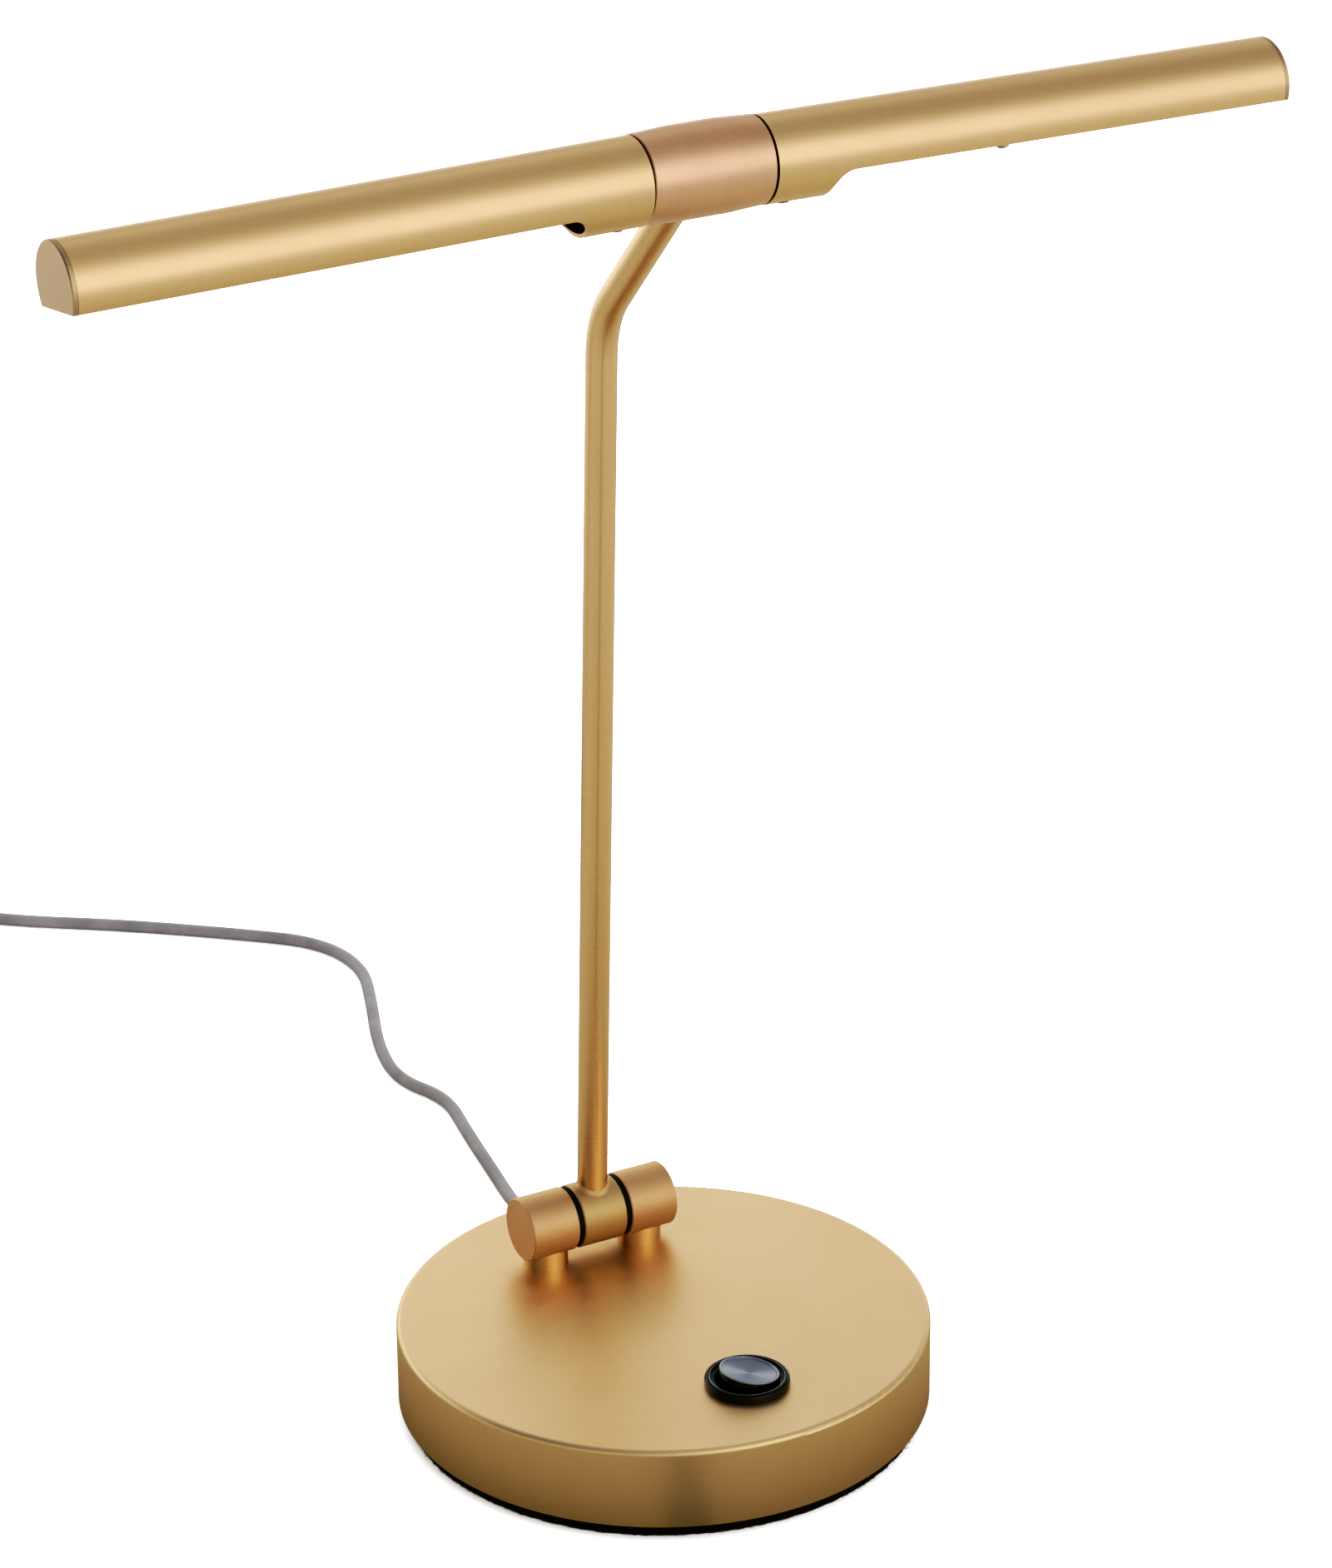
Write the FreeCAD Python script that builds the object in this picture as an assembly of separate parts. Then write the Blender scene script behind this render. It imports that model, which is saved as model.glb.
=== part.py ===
import FreeCAD, Part
import math
import os

# A piano lamp: a weighted round base, a friction hinge, a bent arm and a slim two-part LED shade.
# Millimetres. +Z is up, -Y is the side of the switch and +X is to the right of someone facing it.
# The origin is the middle of the base's underside.

V = FreeCAD.Vector
X_AXIS = V(1, 0, 0)
Y_AXIS = V(0, 1, 0)
Z_AXIS = V(0, 0, 1)

# Clearances
seat_gap = 0.05        # between pieces that are pressed, glued or screwed together
running_gap = 0.05     # radial, between pieces that turn on each other

# Base
base_radius = 82.5
base_top = 30.4
shell_rim = 4.6        # height of the shell's lower edge
shell_wall = 2.0
shell_roof = 3.0
shell_edge_radius = 1.6
felt_radius = base_radius - 2.3
felt_thickness = 2.5
plate_thickness = 3.0
weight_radius = base_radius - 4.5
weight_thickness = 14.0
boss_radius = 5.0

# Screws that hold the weight and the bottom plate
weight_screw_circle = weight_radius - 18.0
weight_screw_angles = (45, 135, 225, 315)
weight_screw_radius = 2.5
weight_screw_head_radius = 4.5
weight_screw_head_height = 3.0
weight_screw_tip = 1.5     # left between the screw's tip and the roof
plate_screw_circle = weight_radius - 8.0
plate_screw_angles = (20, 160, 200, 340)
plate_screw_radius = 1.5
plate_screw_head_radius = 3.0
plate_screw_head_height = 1.5
plate_screw_length = 8.0

# Hinge on the base
hinge_y = 46.5
bar_radius = 10.1
bar_half_length = 25.3
bar_chamfer = 0.35
bar_clearance = 3.3        # seen under the bar
knuckle_half_width = 7.5
washer_thickness = 1.7
post_radius = 7.0
post_x = 16.6
axle_radius = 4.0
axle_bore_radius = 2.4
axle_seat_depth = 12.5     # of the blind hole in each cheek
nipple_radius = 4.0
nipple_bore_radius = 2.4
nipple_below_roof = 6.0
nut_height = 4.0
nut_radius = 6.5

# Arm
arm_radius = 4.75
arm_wall = 1.0
arm_lean = 2.95            # degrees from upright, towards -Y
arm_lower_length = 301.0   # hinge axis to the corner of the bend
arm_upper_length = 81.8    # corner of the bend to the middle of the shade
arm_upper_lean = 43.5      # degrees from upright, towards -Y
arm_bend_radius = 31.0
arm_socket_floor = 6.0     # from the bar's axis to the arm tube's lower end
arm_head_depth = 7.2       # from the shade's axis to the arm tube's upper end
wire_hole_radius = 2.6
arm_lead_radius = 1.8

# Barrel in the middle of the shade
barrel_half_length = 19.0
barrel_flat_half_length = 7.6
barrel_radius = 13.3
spigot_radius = 9.0
spigot_bore_radius = 6.0
spigot_end = 33.0
groove_radius = 7.8
groove_half_width = 1.7

# Shade halves: s runs from the middle of the barrel towards each end
shade_radius = 12.7
shade_wall = 1.2
shade_droop = 0.69         # degrees that each half drops towards its end
shade_start = 19.5
shade_end = 190.0
cap_thickness = 1.5
cap_chamfer = 0.3
opening_depth = 6.24       # from the axis down to the flat edges of the opening
opening_start = 44.5       # where those flat edges begin
opening_turn = {"left": 9.2, "right": 15.8}   # degrees that each opening faces the front
collar_start = 20.5
collar_end = 34.5
lock_screw_s = 26.0
lock_screw_radius = 1.5
lock_screw_stand = 0.25    # it stands out of the tube by this much
lock_screw_slot = 0.5

# Light source in each half
led_middle = 98.7
led_half_length = 48.0
channel_clearance = 0.4    # from the channel's upper corners to the tube
channel_top = 0.55 * shade_radius
channel_half_width = math.sqrt((shade_radius - shade_wall - channel_clearance) ** 2 - channel_top ** 2)
channel_bottom = -4.6
channel_web = 1.2
board_half_width = channel_half_width - 2.1
board_thickness = 1.2
chip_count = 14
chip_length = 3.5
chip_width = 2.8
chip_height = 0.8
diffuser_thickness = 1.2
stud_radius = 1.5
spacer_radius = 3.0
dome_radius = 2.6
dome_base = -4.6
dome_tip = -7.83
dome_thread_depth = 1.0
shade_lead_radius = 1.3
shade_lead_headroom = 0.7  # above the lead in the spigot's bore; a little less under the channel's web
shade_lead_z = min(spigot_bore_radius - shade_lead_headroom,
                   channel_top - channel_web - shade_lead_headroom / 2) - shade_lead_radius
shade_lead_start = 12.0

# Switch
switch_x = 1.6
switch_y = -49.6
bezel_radius = 13.0
bezel_height = 2.6
bezel_edge_radius = 1.2
bezel_lip_radius = 11.3
bezel_recess = 1.0
switch_body_radius = 11.0
switch_body_depth = 14.0
rocker_radius = 9.2
rocker_rim = 4.2           # height of the rocker's rim above the base top when level
rocker_tilt = 9.3          # degrees either side of level; the left side is up
rocker_pivot_drop = 4.6    # pivot below the rim
rocker_skirt_drop = 6.0
rocker_dish = 1.1
rocker_well_radius = 9.9
rocker_pin_radius = 1.2
blade_height = 6.0
blade_width = 4.8
blade_thickness = 0.8
blade_spacing = 6.0

# Terminal block and inner leads
block_length = 26.0
block_width = 14.0
block_height = 12.0
block_y = 6.0
terminal_screw_radius = 1.6
terminal_screw_depth = 4.0
inner_lead_radius = 1.2
riser_z = 12.0             # height of the riser lead's run to the terminal block
riser_landing_x = -8.0
riser_landing_run = 17.0
weight_pocket_gap = 3.0

# Cord
cord_radius = 2.2
cord_lie = 2.25            # height of its centre where it lies on the table
gland_x = 8.0
gland_z = 11.0
gland_neck_radius = 4.0
gland_flange_radius = 5.2
gland_flange_thickness = 2.2
gland_inner_length = 6.0
relief_length = 20.0
relief_root_radius = 4.2
relief_tip_radius = 2.9

# The cord's route from the gland to the coil, chosen by hand; z only where it leaves the table
relief_tip_y = 105.0
coil_entry = V(-90.6, 437.0, cord_lie)
cord_route = [
    V(gland_x, relief_tip_y, gland_z),
    V(gland_x, 117.0, gland_z),
    V(14.5, 134.0, 3.6),
    V(19.2, 156.0, cord_lie),
    V(24.0, 184.0, cord_lie),
    V(29.5, 210.0, cord_lie),
    V(20.5, 231.0, cord_lie),
    V(26.0, 258.0, cord_lie),
    V(39.0, 290.0, cord_lie),
    V(49.0, 318.0, cord_lie),
    V(44.0, 345.0, cord_lie),
    V(20.0, 367.0, cord_lie),
    V(-13.0, 394.5, cord_lie),
    V(-46.0, 417.5, cord_lie),
    V(-66.0, 437.0, cord_lie),
    coil_entry,
]
run_share = 0.45           # of the shorter run, given to the arc at a corner

# Coil of the put-away length
coil_outer_radius = 27.5
coil_pitch = 5.0           # between turns, side by side and one above the other
coil_half_turns_in_layer = 4
coil_layers = 4
coil_end = 2 * cord_radius

# Power adapter at the cord's end
adapter_relief_length = 25.0
adapter_relief_tip_radius = 2.4
adapter_relief_root_radius = 4.4
adapter_length = 40.0
adapter_width = 26.0
adapter_height = 34.0
adapter_corner = 3.0
pin_length = 16.0
pin_width = 6.3
pin_thickness = 1.5
pin_spacing = 12.7

# Sizes that follow from the driving ones
plate_bottom = felt_thickness
weight_bottom = plate_bottom + plate_thickness
weight_top = weight_bottom + weight_thickness
roof_underside = base_top - shell_roof
hinge_z = base_top + bar_clearance + bar_radius
hinge_axis = V(0, hinge_y, hinge_z)
cheek_start = knuckle_half_width + washer_thickness + 2 * seat_gap
arm_direction = V(0, -math.sin(math.radians(arm_lean)), math.cos(math.radians(arm_lean)))
upper_direction = V(0, -math.sin(math.radians(arm_upper_lean)), math.cos(math.radians(arm_upper_lean)))
arm_corner = hinge_axis + arm_direction * arm_lower_length
shade_middle = arm_corner + upper_direction * arm_upper_length
tube_inner_radius = shade_radius - shade_wall
arm_inner_radius = arm_radius - arm_wall
spigot_running_radius = spigot_radius + running_gap


def cylinder(radius, length, start, direction=Z_AXIS):
    return Part.makeCylinder(radius, length, start, direction)


def box(x0, x1, y0, y1, z0, z1):
    return Part.makeBox(x1 - x0, y1 - y0, z1 - z0, V(x0, y0, z0))


def ring(outer, inner, length, start, direction=Z_AXIS):
    return cylinder(outer, length, start, direction).cut(cylinder(inner, length, start, direction))


def polar(circle, angle, z):
    turn = math.radians(angle)
    return V(circle * math.cos(turn), circle * math.sin(turn), z)


def spun(points, origin, direction):
    """A solid of revolution from (distance along the direction, radius) points, closed on its axis."""
    outline = [(points[0][0], 0.0)] + points + [(points[-1][0], 0.0)]
    corners = [V(along, radius, 0) for along, radius in outline]
    face = Part.Face(Part.makePolygon(corners + [corners[0]]))
    solid = face.revolve(V(0, 0, 0), X_AXIS, 360)
    return moved(solid, X_AXIS, direction, origin)


def moved(shape, from_direction, to_direction, origin):
    placed = shape.copy()
    placed.Placement = FreeCAD.Placement(origin, FreeCAD.Rotation(from_direction, to_direction))
    return placed


def turned(shape, centre, axis, degrees):
    placed = shape.copy()
    placed.rotate(centre, axis, degrees)
    return placed


def save(name, shapes):
    group = shapes if isinstance(shapes, list) else [shapes]
    solids = [solid for shape in group for solid in shape.Solids]
    result = solids[0] if len(solids) == 1 else Part.makeCompound(solids)
    result.exportStep("parts/" + name + ".step")


# Base


def base_shell():
    shell = cylinder(base_radius, base_top - shell_rim, V(0, 0, shell_rim))
    top_edges = [edge for edge in shell.Edges if abs(edge.CenterOfMass.z - base_top) < 1e-6]
    shell = shell.makeFillet(shell_edge_radius, top_edges)
    shell = shell.cut(cylinder(base_radius - shell_wall, roof_underside - shell_rim, V(0, 0, shell_rim)))
    for angle in weight_screw_angles:
        foot = polar(weight_screw_circle, angle, weight_top + seat_gap)
        shell = shell.fuse(cylinder(boss_radius, roof_underside - foot.z, foot))
    for angle in weight_screw_angles:
        foot = polar(weight_screw_circle, angle, weight_top)
        depth = roof_underside - weight_screw_tip + seat_gap - weight_top
        shell = shell.cut(cylinder(weight_screw_radius + seat_gap, depth, foot))
    for side in (-1, 1):
        foot = V(side * post_x, hinge_y, roof_underside)
        shell = shell.cut(cylinder(nipple_radius + seat_gap, shell_roof, foot))
    hole = V(switch_x, switch_y, roof_underside)
    shell = shell.cut(cylinder(switch_body_radius + seat_gap, shell_roof, hole))
    neck = V(gland_x, base_radius - 4 * shell_wall, gland_z)
    return shell.cut(cylinder(gland_neck_radius + seat_gap, 6 * shell_wall, neck, Y_AXIS))


def base_weight():
    weight = cylinder(weight_radius, weight_thickness, V(0, 0, weight_bottom))
    pocket_x = block_length / 2 + weight_pocket_gap
    pocket_y = block_width / 2 + weight_pocket_gap
    weight = weight.cut(box(-pocket_x, pocket_x, block_y - pocket_y, block_y + pocket_y,
                            weight_bottom, weight_top))
    channel = gland_flange_radius + weight_pocket_gap
    weight = weight.cut(box(gland_x - channel, gland_x + channel, block_y, base_radius,
                            weight_bottom, weight_top))
    riser_x = -post_x - nipple_radius
    riser_y = hinge_y + nipple_radius
    weight = weight.cut(box(riser_x, riser_landing_x + nipple_radius, block_y, riser_y,
                            weight_bottom, weight_top))
    well_radius = switch_body_radius + weight_pocket_gap
    weight = weight.cut(cylinder(well_radius, weight_thickness, V(switch_x, switch_y, weight_bottom)))
    slot = blade_spacing + weight_pocket_gap
    weight = weight.cut(box(switch_x - slot, switch_x + slot, switch_y, block_y, weight_bottom, weight_top))
    for angle in weight_screw_angles:
        foot = polar(weight_screw_circle, angle, weight_bottom)
        weight = weight.cut(cylinder(weight_screw_radius + seat_gap, weight_thickness, foot))
        weight = weight.cut(cylinder(weight_screw_head_radius + seat_gap,
                                     weight_screw_head_height + seat_gap, foot))
    for angle in plate_screw_angles:
        foot = polar(plate_screw_circle, angle, weight_bottom)
        weight = weight.cut(cylinder(plate_screw_radius + seat_gap, plate_screw_length, foot))
    return weight


def weight_screws():
    screws = []
    for angle in weight_screw_angles:
        foot = polar(weight_screw_circle, angle, weight_bottom + seat_gap)
        tip = roof_underside - weight_screw_tip
        head = cylinder(weight_screw_head_radius, weight_screw_head_height - seat_gap, foot)
        screws.append(head.fuse(cylinder(weight_screw_radius, tip - foot.z, foot)))
    return screws


def bottom_plate():
    plate = cylinder(felt_radius, plate_thickness, V(0, 0, plate_bottom))
    for angle in plate_screw_angles:
        foot = polar(plate_screw_circle, angle, plate_bottom)
        plate = plate.cut(cylinder(plate_screw_radius + seat_gap, plate_thickness, foot))
        plate = plate.cut(cylinder(plate_screw_head_radius + seat_gap,
                                   plate_screw_head_height + seat_gap, foot))
    return plate


def plate_screws():
    screws = []
    for angle in plate_screw_angles:
        foot = polar(plate_screw_circle, angle, plate_bottom + seat_gap)
        head = cylinder(plate_screw_head_radius, plate_screw_head_height - seat_gap, foot)
        screws.append(head.fuse(cylinder(plate_screw_radius, plate_screw_length, foot)))
    return screws


def felt_pad():
    return cylinder(felt_radius, felt_thickness, V(0, 0, 0))


# Hinge


def hinge_cheek(side):
    start = V(side * cheek_start, hinge_y, hinge_z)
    outward = X_AXIS * side
    length = bar_half_length - cheek_start
    cheek = spun(
        [(0, bar_radius - bar_chamfer), (bar_chamfer, bar_radius),
         (length - bar_chamfer, bar_radius), (length, bar_radius - bar_chamfer)],
        start, outward)
    seat = V(side * cheek_start, hinge_y, hinge_z)
    cheek = cheek.cut(cylinder(axle_radius + seat_gap, axle_seat_depth, seat, outward))
    nipple_hole = V(side * post_x, hinge_y, hinge_z - bar_radius - bar_clearance)
    return cheek.cut(cylinder(nipple_radius + seat_gap, bar_radius + bar_clearance, nipple_hole))


def hinge_posts():
    posts = []
    for side in (-1, 1):
        foot = V(side * post_x, hinge_y, base_top)
        post = cylinder(post_radius, hinge_z - base_top, foot)
        saddle = foot + V(-2 * post_radius, 0, hinge_z - base_top)
        post = post.cut(cylinder(bar_radius + seat_gap, 4 * post_radius, saddle, X_AXIS))
        posts.append(post.cut(cylinder(nipple_radius + seat_gap, hinge_z - base_top, foot)))
    return posts


def post_nipples():
    nipples = []
    for side in (-1, 1):
        foot = V(side * post_x, hinge_y, roof_underside - nipple_below_roof)
        top = hinge_z - axle_radius - 2 * seat_gap
        nipples.append(ring(nipple_radius, nipple_bore_radius, top - foot.z, foot))
    return nipples


def nipple_nuts():
    nuts = []
    for side in (-1, 1):
        middle = V(side * post_x, hinge_y, roof_underside - seat_gap - nut_height)
        corners = [middle + polar(nut_radius, 60 * corner, 0) for corner in range(7)]
        nut = Part.Face(Part.makePolygon(corners)).extrude(V(0, 0, nut_height))
        nuts.append(nut.cut(cylinder(nipple_radius + seat_gap, nut_height, middle)))
    return nuts


def hinge_axle():
    half = cheek_start + axle_seat_depth - seat_gap
    start = V(-half, hinge_y, hinge_z)
    axle = ring(axle_radius, axle_bore_radius, 2 * half, start, X_AXIS)
    slot = box(-wire_hole_radius, wire_hole_radius, hinge_y - axle_radius, hinge_y + axle_radius,
               hinge_z, hinge_z + axle_radius)
    outlet = cylinder(nipple_bore_radius, axle_radius, V(-post_x, hinge_y, hinge_z - axle_radius))
    return axle.cut(slot).cut(outlet)


def hinge_knuckle():
    start = V(-knuckle_half_width, hinge_y, hinge_z)
    length = 2 * knuckle_half_width
    knuckle = spun(
        [(0, bar_radius - bar_chamfer), (bar_chamfer, bar_radius),
         (length - bar_chamfer, bar_radius), (length, bar_radius - bar_chamfer)],
        start, X_AXIS)
    knuckle = knuckle.cut(cylinder(axle_radius + running_gap, length, start, X_AXIS))
    socket = hinge_axis + arm_direction * (arm_socket_floor - seat_gap)
    knuckle = knuckle.cut(cylinder(arm_radius + seat_gap, bar_radius, socket, arm_direction))
    return knuckle.cut(cylinder(wire_hole_radius, bar_radius, hinge_axis, arm_direction))


def hinge_washers():
    washers = []
    for side in (-1, 1):
        start = V(side * (knuckle_half_width + seat_gap), hinge_y, hinge_z)
        washers.append(ring(bar_radius - bar_chamfer, axle_radius + running_gap, washer_thickness,
                            start, X_AXIS * side))
    return washers


# Arm


def arm_path(start_length, end_length):
    """Straight, bend, straight, between distances from the hinge axis and from the shade's middle."""
    half_turn = math.radians(arm_upper_lean - arm_lean) / 2
    reach = arm_bend_radius * math.tan(half_turn)
    bend_start = arm_corner - arm_direction * reach
    bend_end = arm_corner + upper_direction * reach
    inward = (upper_direction - arm_direction).normalize()
    middle = arm_corner + inward * (arm_bend_radius / math.cos(half_turn) - arm_bend_radius)
    lower = hinge_axis + arm_direction * start_length
    upper = shade_middle - upper_direction * end_length
    return Part.Wire([
        Part.LineSegment(lower, bend_start).toShape(),
        Part.Arc(bend_start, middle, bend_end).toShape(),
        Part.LineSegment(bend_end, upper).toShape(),
    ])


def swept(path, radius, start, direction):
    profile = Part.Wire(Part.makeCircle(radius, start, direction))
    return path.makePipeShell([profile], True, False)


def arm_rod(radius, start_length, end_length):
    path = arm_path(start_length, end_length)
    return swept(path, radius, hinge_axis + arm_direction * start_length, arm_direction)


def arm_tube():
    outside = arm_rod(arm_radius, arm_socket_floor, arm_head_depth)
    return outside.cut(arm_rod(arm_inner_radius, arm_socket_floor - 1, arm_head_depth - 1))


def arm_lead():
    return arm_rod(arm_lead_radius, arm_socket_floor, arm_head_depth)


# Shade


def along_half(shape, side, turn=0.0):
    """Puts a shape modelled along +X from the barrel's middle in the place of the named half."""
    placed = shape.copy()
    if side == "left":
        placed.rotate(V(0, 0, 0), Z_AXIS, 180)
    placed.rotate(V(0, 0, 0), X_AXIS, -turn)
    placed.rotate(V(0, 0, 0), Y_AXIS, shade_droop if side == "right" else -shade_droop)
    placed.translate(shade_middle)
    return placed


def in_half(shape, side):
    return along_half(shape, side, opening_turn[side])


def barrel():
    body = spun(
        [(-barrel_half_length, shade_radius - cap_chamfer), (-barrel_half_length + cap_chamfer, shade_radius),
         (-barrel_flat_half_length, barrel_radius), (barrel_flat_half_length, barrel_radius),
         (barrel_half_length - cap_chamfer, shade_radius), (barrel_half_length, shade_radius - cap_chamfer)],
        shade_middle, X_AXIS)
    spigot = cylinder(spigot_radius, spigot_end, V(0, 0, 0), X_AXIS)
    groove = ring(spigot_radius + 1, groove_radius, 2 * groove_half_width,
                  V(lock_screw_s - groove_half_width, 0, 0), X_AXIS)
    spigot = spigot.cut(groove)
    bore = cylinder(spigot_bore_radius, spigot_end + 1, V(0, 0, 0), X_AXIS)
    for side in ("left", "right"):
        body = body.fuse(along_half(spigot, side))
    for side in ("left", "right"):
        body = body.cut(along_half(bore, side))
    socket_start = shade_middle - upper_direction * (2 * barrel_radius)
    socket_depth = 2 * barrel_radius - arm_head_depth + seat_gap
    body = body.cut(cylinder(arm_radius + seat_gap, socket_depth, socket_start, upper_direction))
    return body.cut(cylinder(wire_hole_radius, 2 * barrel_radius, socket_start, upper_direction))


def opening_cutter():
    """Everything under the opening's flat edges, with the quarter round that ends it at the barrel side."""
    round_radius = shade_radius - opening_depth
    low = -2 * shade_radius
    far = shade_end + shade_radius
    edge = -opening_depth
    bend = V(opening_start - round_radius * math.cos(math.pi / 4), 0,
             -shade_radius + round_radius * math.sin(math.pi / 4))
    corner = V(opening_start - round_radius, 0, -shade_radius)
    outline = Part.Wire([
        Part.LineSegment(V(opening_start, 0, edge), V(far, 0, edge)).toShape(),
        Part.LineSegment(V(far, 0, edge), V(far, 0, low)).toShape(),
        Part.LineSegment(V(far, 0, low), V(corner.x, 0, low)).toShape(),
        Part.LineSegment(V(corner.x, 0, low), corner).toShape(),
        Part.Arc(corner, bend, V(opening_start, 0, edge)).toShape(),
    ])
    outline.translate(V(0, -2 * shade_radius, 0))
    return Part.Face(outline).extrude(V(0, 4 * shade_radius, 0))


def shade_tube():
    length = shade_end - cap_thickness - seat_gap - shade_start
    tube = ring(shade_radius, tube_inner_radius, length, V(shade_start, 0, 0), X_AXIS)
    tube = tube.cut(opening_cutter())
    screw_hole = cylinder(lock_screw_radius + seat_gap, shade_radius, V(lock_screw_s, 0, 0), -Z_AXIS)
    return tube.cut(screw_hole)


def end_cap():
    start = V(shade_end - cap_thickness, 0, 0)
    cap = spun([(0, shade_radius), (cap_thickness - cap_chamfer, shade_radius),
                (cap_thickness, shade_radius - cap_chamfer)], start, X_AXIS)
    return cap.cut(opening_cutter())


def shade_collar():
    collar = ring(tube_inner_radius - seat_gap, spigot_running_radius, collar_end - collar_start,
                  V(collar_start, 0, 0), X_AXIS)
    screw_hole = cylinder(lock_screw_radius + seat_gap, shade_radius, V(lock_screw_s, 0, 0), -Z_AXIS)
    return collar.cut(screw_hole)


def lock_screw():
    tip = groove_radius + running_gap
    outer = shade_radius + lock_screw_stand
    screw = cylinder(lock_screw_radius, outer - tip, V(lock_screw_s, 0, -tip), -Z_AXIS)
    half_slot = lock_screw_slot / 2
    slot = box(lock_screw_s - lock_screw_radius, lock_screw_s + lock_screw_radius, -half_slot, half_slot,
               -outer, -outer + 2 * lock_screw_slot)
    return screw.cut(slot)


def led_channel():
    start = led_middle - led_half_length
    end = led_middle + led_half_length
    channel = box(start, end, -channel_half_width, channel_half_width, channel_bottom, channel_top)
    inner = channel_half_width - channel_web
    channel = channel.cut(box(start, end, -inner, inner, channel_bottom, channel_top - channel_web))
    return channel.cut(cylinder(stud_radius + seat_gap, channel_top, V(led_middle, 0, 0)))


board_top = channel_top - channel_web - seat_gap
board_bottom = board_top - board_thickness


def led_board():
    start = led_middle - led_half_length
    end = led_middle + led_half_length
    board = box(start, end, -board_half_width, board_half_width, board_bottom, board_top)
    return board.cut(cylinder(stud_radius + seat_gap, board_top, V(led_middle, 0, 0)))


def led_chips():
    spacing = 2 * led_half_length / chip_count
    first = led_middle - led_half_length + spacing / 2
    top = board_bottom - seat_gap
    chips = []
    for number in range(chip_count):
        middle = first + number * spacing
        chips.append(box(middle - chip_length / 2, middle + chip_length / 2,
                         -chip_width / 2, chip_width / 2, top - chip_height, top))
    return chips


def diffuser():
    half_width = channel_half_width - channel_web - seat_gap
    strip = box(led_middle - led_half_length, led_middle + led_half_length,
                -half_width, half_width, channel_bottom, channel_bottom + diffuser_thickness)
    return strip.cut(cylinder(stud_radius + seat_gap, 2 * shade_radius, V(led_middle, 0, -shade_radius)))


def led_stud():
    top = math.sqrt(tube_inner_radius ** 2 - stud_radius ** 2) - seat_gap
    bottom = dome_base - dome_thread_depth
    return cylinder(stud_radius, top - bottom, V(led_middle, 0, bottom))


def stud_spacer():
    bottom = channel_top + seat_gap
    top = math.sqrt(tube_inner_radius ** 2 - spacer_radius ** 2) - seat_gap
    return ring(spacer_radius, stud_radius + seat_gap, top - bottom, V(led_middle, 0, bottom))


def dome_nut():
    rise = dome_base - seat_gap - dome_tip
    straight = rise - dome_radius
    nut = cylinder(dome_radius, straight, V(led_middle, 0, dome_base - seat_gap - straight))
    ball = Part.makeSphere(dome_radius, V(led_middle, 0, dome_tip + dome_radius))
    below = box(led_middle - dome_radius, led_middle + dome_radius, -dome_radius, dome_radius,
                dome_tip - 1, dome_tip + dome_radius)
    nut = nut.fuse(ball.common(below))
    depth = dome_thread_depth + seat_gap
    bore = cylinder(stud_radius + seat_gap, depth, V(led_middle, 0, dome_base - depth))
    return nut.cut(bore)


def shade_lead():
    end = led_middle - led_half_length - seat_gap
    return cylinder(shade_lead_radius, end - shade_lead_start, V(shade_lead_start, 0, shade_lead_z), X_AXIS)


# Switch


rocker_pivot = V(switch_x, switch_y, base_top + rocker_rim - rocker_pivot_drop)


def switch_housing():
    foot = V(switch_x, switch_y, base_top)
    bezel = cylinder(bezel_radius, bezel_height, foot)
    top_edges = [edge for edge in bezel.Edges if abs(edge.CenterOfMass.z - base_top - bezel_height) < 1e-6]
    bezel = bezel.makeFillet(bezel_edge_radius, top_edges)
    bezel = bezel.cut(cylinder(bezel_lip_radius, bezel_recess, foot + V(0, 0, bezel_height - bezel_recess)))
    body = cylinder(switch_body_radius, switch_body_depth, foot - V(0, 0, switch_body_depth))
    housing = bezel.fuse(body)
    well_floor = rocker_pivot.z - rocker_skirt_drop
    well_foot = V(switch_x, switch_y, well_floor)
    well = cylinder(rocker_well_radius, base_top + bezel_height - well_floor, well_foot)
    housing = housing.cut(well)
    pin_reach = (rocker_well_radius + switch_body_radius) / 2
    pins = cylinder(rocker_pin_radius, 2 * pin_reach, rocker_pivot - V(0, pin_reach, 0), Y_AXIS)
    bore = cylinder(rocker_radius - 1, 2 * rocker_radius, rocker_pivot - V(0, 0, rocker_radius))
    return housing.fuse(pins.cut(bore))


def switch_rocker():
    rim = V(switch_x, switch_y, base_top + rocker_rim)
    depth = rocker_pivot_drop + rocker_pin_radius + 1.0
    button = cylinder(rocker_radius, depth, rim - V(0, 0, depth))
    dish_radius = (rocker_radius ** 2 + rocker_dish ** 2) / (2 * rocker_dish)
    button = button.cut(Part.makeSphere(dish_radius, rim + V(0, 0, dish_radius - rocker_dish)))
    hole_start = rocker_pivot - V(0, rocker_radius, 0)
    hole = cylinder(rocker_pin_radius + running_gap, 2 * rocker_radius, hole_start, Y_AXIS)
    return turned(button.cut(hole), rocker_pivot, Y_AXIS, rocker_tilt)


def switch_blades():
    top = base_top - switch_body_depth - seat_gap
    blades = []
    for step in (-1, 0, 1):
        middle = switch_x + step * blade_spacing
        blades.append(box(middle - blade_thickness / 2, middle + blade_thickness / 2,
                          switch_y - blade_width / 2, switch_y + blade_width / 2, top - blade_height, top))
    return blades


# Wiring inside the base


block_bottom = weight_bottom + seat_gap
block_top = block_bottom + block_height


def terminal_spots():
    return [V(x, block_y + y, block_top) for x in (-block_length / 4, block_length / 4)
            for y in (-block_width / 4, block_width / 4)]


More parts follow.
